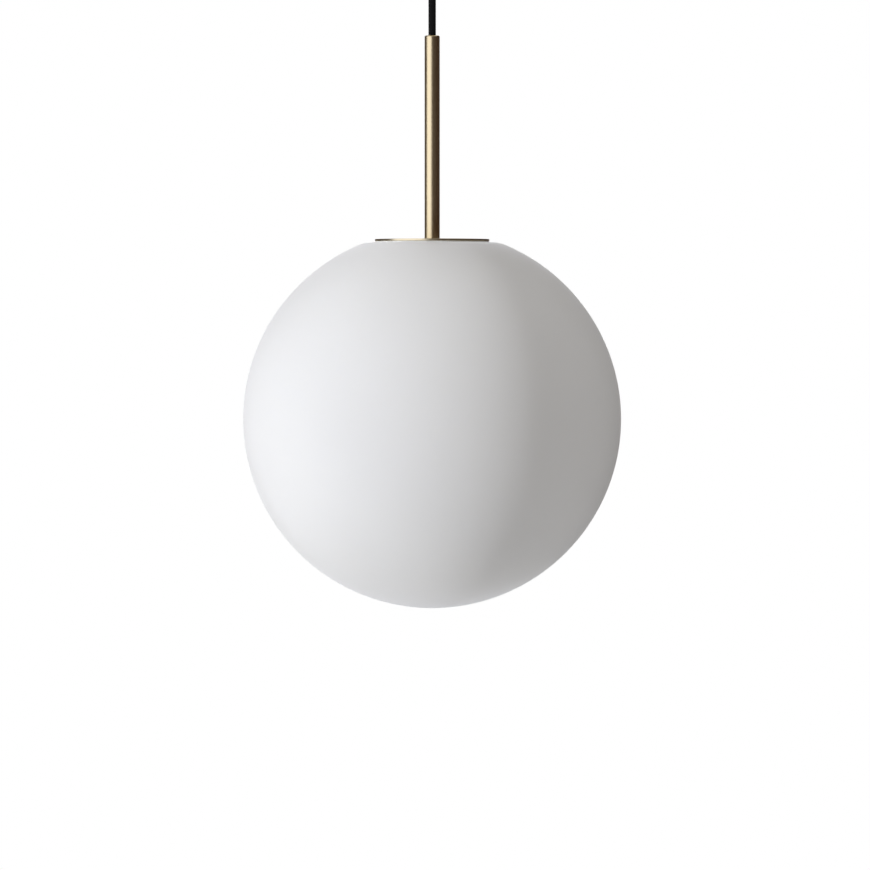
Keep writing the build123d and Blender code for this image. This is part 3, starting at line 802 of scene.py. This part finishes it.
# --- Silicone pieces ----------------------------------------------------------------------------
SEAL_INNER_R = 21.7 * MM
SEAL_BEAD = 0.3 * MM           # height of its sealing beads
SEAL_ROWS = 40
BOND_INNER_R = 26.6 * MM       # the collar of the cup in the globe's mouth
BOND_LUMP = 0.03 * MM          # how uneven the bead is


def build_seal():
    """Soft ring between the disc and the globe's ledge, with two sealing beads on each face."""
    low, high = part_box("seal_ring")
    flat_top = high.z - SEAL_BEAD
    flat_bottom = low.z + SEAL_BEAD
    top = []
    bottom = []
    for i in range(SEAL_ROWS + 1):
        r = SEAL_INNER_R + (high.x - SEAL_INNER_R) * i / SEAL_ROWS
        rise = SEAL_BEAD * math.sin(2 * math.pi * i / SEAL_ROWS) ** 2
        top.append((r, flat_top + rise))
        bottom.append((r, flat_bottom - rise))
    seal = lathe("seal_ring_soft", top + bottom[::-1], 128)
    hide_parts("seal_ring")
    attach(seal, "seal")
    dress(seal, "silicone")


def build_glass_bond():
    """Bead of cured silicone that holds the cup in the globe's mouth, slightly uneven all round."""
    low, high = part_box("glass_bond_ring")
    outline = rounded([(BOND_INNER_R, low.z), (high.x, low.z), (high.x, high.z),
                       (BOND_INNER_R, high.z)], 0.2 * MM, 6)
    middle_r = (BOND_INNER_R + high.x) / 2

    def uneven(r, z, angle):
        lump = BOND_LUMP * (math.sin(7 * angle) + math.sin(13 * angle + 1.0))
        return r - abs(lump) * (1 if r > middle_r else -1)

    bond = lathe("glass_bond_bead", outline, 160, uneven)
    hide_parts("glass_bond_ring")
    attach(bond, "globe_lamp")
    dress(bond, "silicone")


build_seal()
build_glass_bond()


# --- Other CAD nodes keep their shape and get their materials -----------------------------------
# Each has the look of its material in the record, but for the LED boards.
SLOT_LOOKS = {row["node"]: row["material_slot"] for row in frame["record"]["subparts"]}
SLOT_LOOKS["led_side_boards"] = "board_white"
SLOT_LOOKS["led_end_board"] = "board_white"
for node_name, cad_piece in nodes.items():
    dress(cad_piece, SLOT_LOOKS[node_name])


# --- Light and background -----------------------------------------------------------------------
# Azimuths run from the camera's side of the lamp, positive to the camera's right.
SOFT_LIGHTS = {                 # azimuth, elevation, strength, width in degrees, and colour
    "key": (-56.0, 3.0, 2.32, 8.0, (0.985, 1.0, 1.03)),
    "top": (60.0, 45.0, 0.64, 20.0, (1.0, 0.99, 0.95)),
    "left": (-115.0, 10.0, 0.8, 20.0, (1.0, 1.0, 1.0)),
    "fill": (30.0, 0.0, 0.22, 20.0, (1.0, 1.0, 0.98)),
    "back": (180.0, 12.0, 1.1, 30.0, (1.0, 1.0, 1.0)),
}
SOFT_LIGHT_DISTANCE = 3.0
CARD_DISTANCE = 1.5
CARD_HEIGHT = 3.6
CARD_RADIANCE = 1.27
CARD_COLOUR = (0.97, 1.0, 1.12)
CARDS = {"card": (-49.0, 2.26), "back_card": (180.0, 0.8)}      # azimuth and width
# The world's colour: at each height, from 0 straight below to 1 straight above, the share of
# WALL_LIGHT in WALL_SHADE.
WORLD_STOPS = ((0.0, 0.5), (0.07, 0.5), (0.13, 0.82), (0.30, 0.82),
               (0.36, 0.0), (0.86, 0.0), (0.93, 1.0), (1.0, 1.0))
WALL_LIGHT = (0.75, 0.745, 0.735)
WALL_SHADE = (0.037, 0.0215, 0.0165)
FLOOR_Z = -2.2
FLOOR_R = 0.9


def direction(azimuth, elevation):
    """Unit vector from the lamp towards a light."""
    round_way = math.radians(azimuth)
    lift = math.radians(elevation)
    flat = math.cos(lift)
    return Vector((math.sin(round_way) * flat, -math.cos(round_way) * flat, math.sin(lift)))


def add_light(name, kind, way, distance, energy, colour):
    """A lamp that shines at the globe's middle and isn't seen itself."""
    light = bpy.data.lights.new(name, kind)
    light.energy = energy
    light.color = colour
    holder = bpy.data.objects.new(name, light)
    holder.location = Vector((0, 0, globe_z)) + way * distance
    holder.rotation_euler = way.to_track_quat("Z", "Y").to_euler()
    holder.visible_camera = False
    bpy.context.scene.collection.objects.link(holder)
    return holder


def add_soft_lights():
    """Directional lights that shade the matt surfaces: four for the side that the camera sees, and
    one for the back."""
    for name, (azimuth, elevation, strength, width, colour) in SOFT_LIGHTS.items():
        way = direction(azimuth, elevation)
        holder = add_light(name, "SUN", way, SOFT_LIGHT_DISTANCE, strength, colour)
        holder.data.angle = math.radians(width)
        holder.visible_glossy = False


def add_reflection_cards():
    """Tall white cards, which only the metals and other glossy faces show."""
    for name, (azimuth, width) in CARDS.items():
        energy = CARD_RADIANCE * math.pi * width * CARD_HEIGHT
        way = direction(azimuth, 0.0)
        holder = add_light(name, "AREA", way, CARD_DISTANCE, energy, CARD_COLOUR)
        holder.data.shape = "RECTANGLE"
        holder.data.size = width
        holder.data.size_y = CARD_HEIGHT
        holder.visible_diffuse = False


def add_world():
    """White behind the lamp. As light it is dark at the horizon and pale straight up and below, as
    from the ceiling and the lower walls of a room."""
    world = bpy.data.worlds.new("studio")
    bpy.context.scene.world = world
    world.use_nodes = True
    tree = world.node_tree
    tree.nodes.clear()
    place = tree.nodes.new("ShaderNodeTexCoord")
    split = tree.nodes.new("ShaderNodeSeparateXYZ")
    tree.links.new(place.outputs["Generated"], split.inputs[0])
    height = tree.nodes.new("ShaderNodeMath")
    height.operation = "MULTIPLY_ADD"
    height.inputs[1].default_value = 0.5
    height.inputs[2].default_value = 0.5
    tree.links.new(split.outputs["Z"], height.inputs[0])
    ramp = tree.nodes.new("ShaderNodeValToRGB")
    tree.links.new(height.outputs[0], ramp.inputs["Fac"])
    while len(ramp.color_ramp.elements) < len(WORLD_STOPS):
        ramp.color_ramp.elements.new(0.5)
    for element, (position, share) in zip(ramp.color_ramp.elements, WORLD_STOPS):
        element.position = position
        element.color = (*[s + (l - s) * share for s, l in zip(WALL_SHADE, WALL_LIGHT)], 1.0)
    lit = tree.nodes.new("ShaderNodeBackground")
    tree.links.new(ramp.outputs["Color"], lit.inputs["Color"])
    seen = tree.nodes.new("ShaderNodeBackground")
    seen.inputs["Color"].default_value = (1.0, 1.0, 1.0, 1.0)
    path = tree.nodes.new("ShaderNodeLightPath")
    mix = tree.nodes.new("ShaderNodeMixShader")
    tree.links.new(path.outputs["Is Camera Ray"], mix.inputs["Fac"])
    tree.links.new(lit.outputs[0], mix.inputs[1])
    tree.links.new(seen.outputs[0], mix.inputs[2])
    out = tree.nodes.new("ShaderNodeOutputWorld")
    tree.links.new(mix.outputs[0], out.inputs["Surface"])


def add_floor():
    """Pale floor, well below the lamp and out of the picture."""
    bm = bmesh.new()
    bmesh.ops.create_circle(bm, cap_ends=True, segments=96, radius=FLOOR_R)
    bmesh.ops.translate(bm, verts=bm.verts, vec=(0, 0, FLOOR_Z))
    floor = make_object("floor", bm)
    look = Look("floor_pale", 0.8)
    look.colour(look.tint(look.noise(look.place(), 3.0), (0.82, 0.82, 0.81), (0.86, 0.86, 0.85)))
    floor.data.materials.append(look.material)


add_soft_lights()
add_reflection_cards()
add_world()
add_floor()
bpy.context.scene.view_settings.view_transform = "Standard"
bpy.context.scene.view_settings.look = "None"
